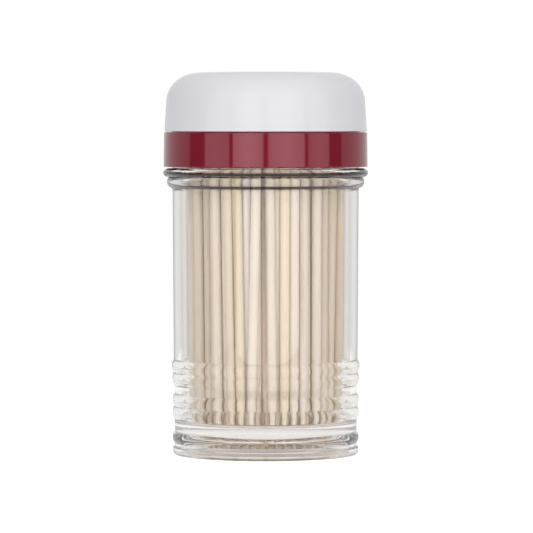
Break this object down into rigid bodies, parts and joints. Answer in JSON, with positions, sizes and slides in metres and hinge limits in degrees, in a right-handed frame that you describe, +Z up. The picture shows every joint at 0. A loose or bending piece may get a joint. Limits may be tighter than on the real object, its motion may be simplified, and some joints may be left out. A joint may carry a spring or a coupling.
{
  "type": "toothpick dispenser",
  "caption": "Clear ribbed jar filled with upright toothpicks, with a red push-on closure and a white domed cap that turns to line up a dispensing port.",
  "frame": {"origin": "centre of the jar's foot ring, on the surface that the dispenser stands on", "axes": "+Z up along the jar's axis, +Y towards the side that the cap's port is on, +X to the right seen from the front"},
  "size_m": [0.0476, 0.0476, 0.089],
  "materials": {
    "clear_jar": "clear glossy moulded plastic",
    "red_closure": "glossy deep red",
    "white_cap": "glossy cool white",
    "toothpick_wood": "smooth unvarnished pale birch"
  },
  "bodies": {
    "jar": {"jar": "clear_jar"},
    "closure": {"closure": "red_closure"},
    "cap": {"cap": "white_cap"},
    "toothpicks": {"toothpick_ring_1": "toothpick_wood", "toothpick_ring_2": "toothpick_wood", "toothpick_ring_3": "toothpick_wood", "toothpick_ring_4": "toothpick_wood", "toothpick_ring_5": "toothpick_wood", "toothpick_ring_6": "toothpick_wood", "toothpick_ring_7": "toothpick_wood", "toothpick_ring_8": "toothpick_wood"}
  },
  "joints": [
    {"name": "closure_lift", "type": "slide", "parent": "jar", "child": "closure", "axis": [0, 0, 1], "range_m": [0, 0.025]},
    {"name": "cap_turn", "type": "hinge", "parent": "closure", "child": "cap", "pos_m": [0, 0, 0.0767], "axis": [0, 0, 1], "continuous": true},
    {"name": "toothpicks_slide", "type": "slide", "parent": "jar", "child": "toothpicks", "axis": [0, 0, 1], "range_m": [0, 0.0125]}
  ]
}
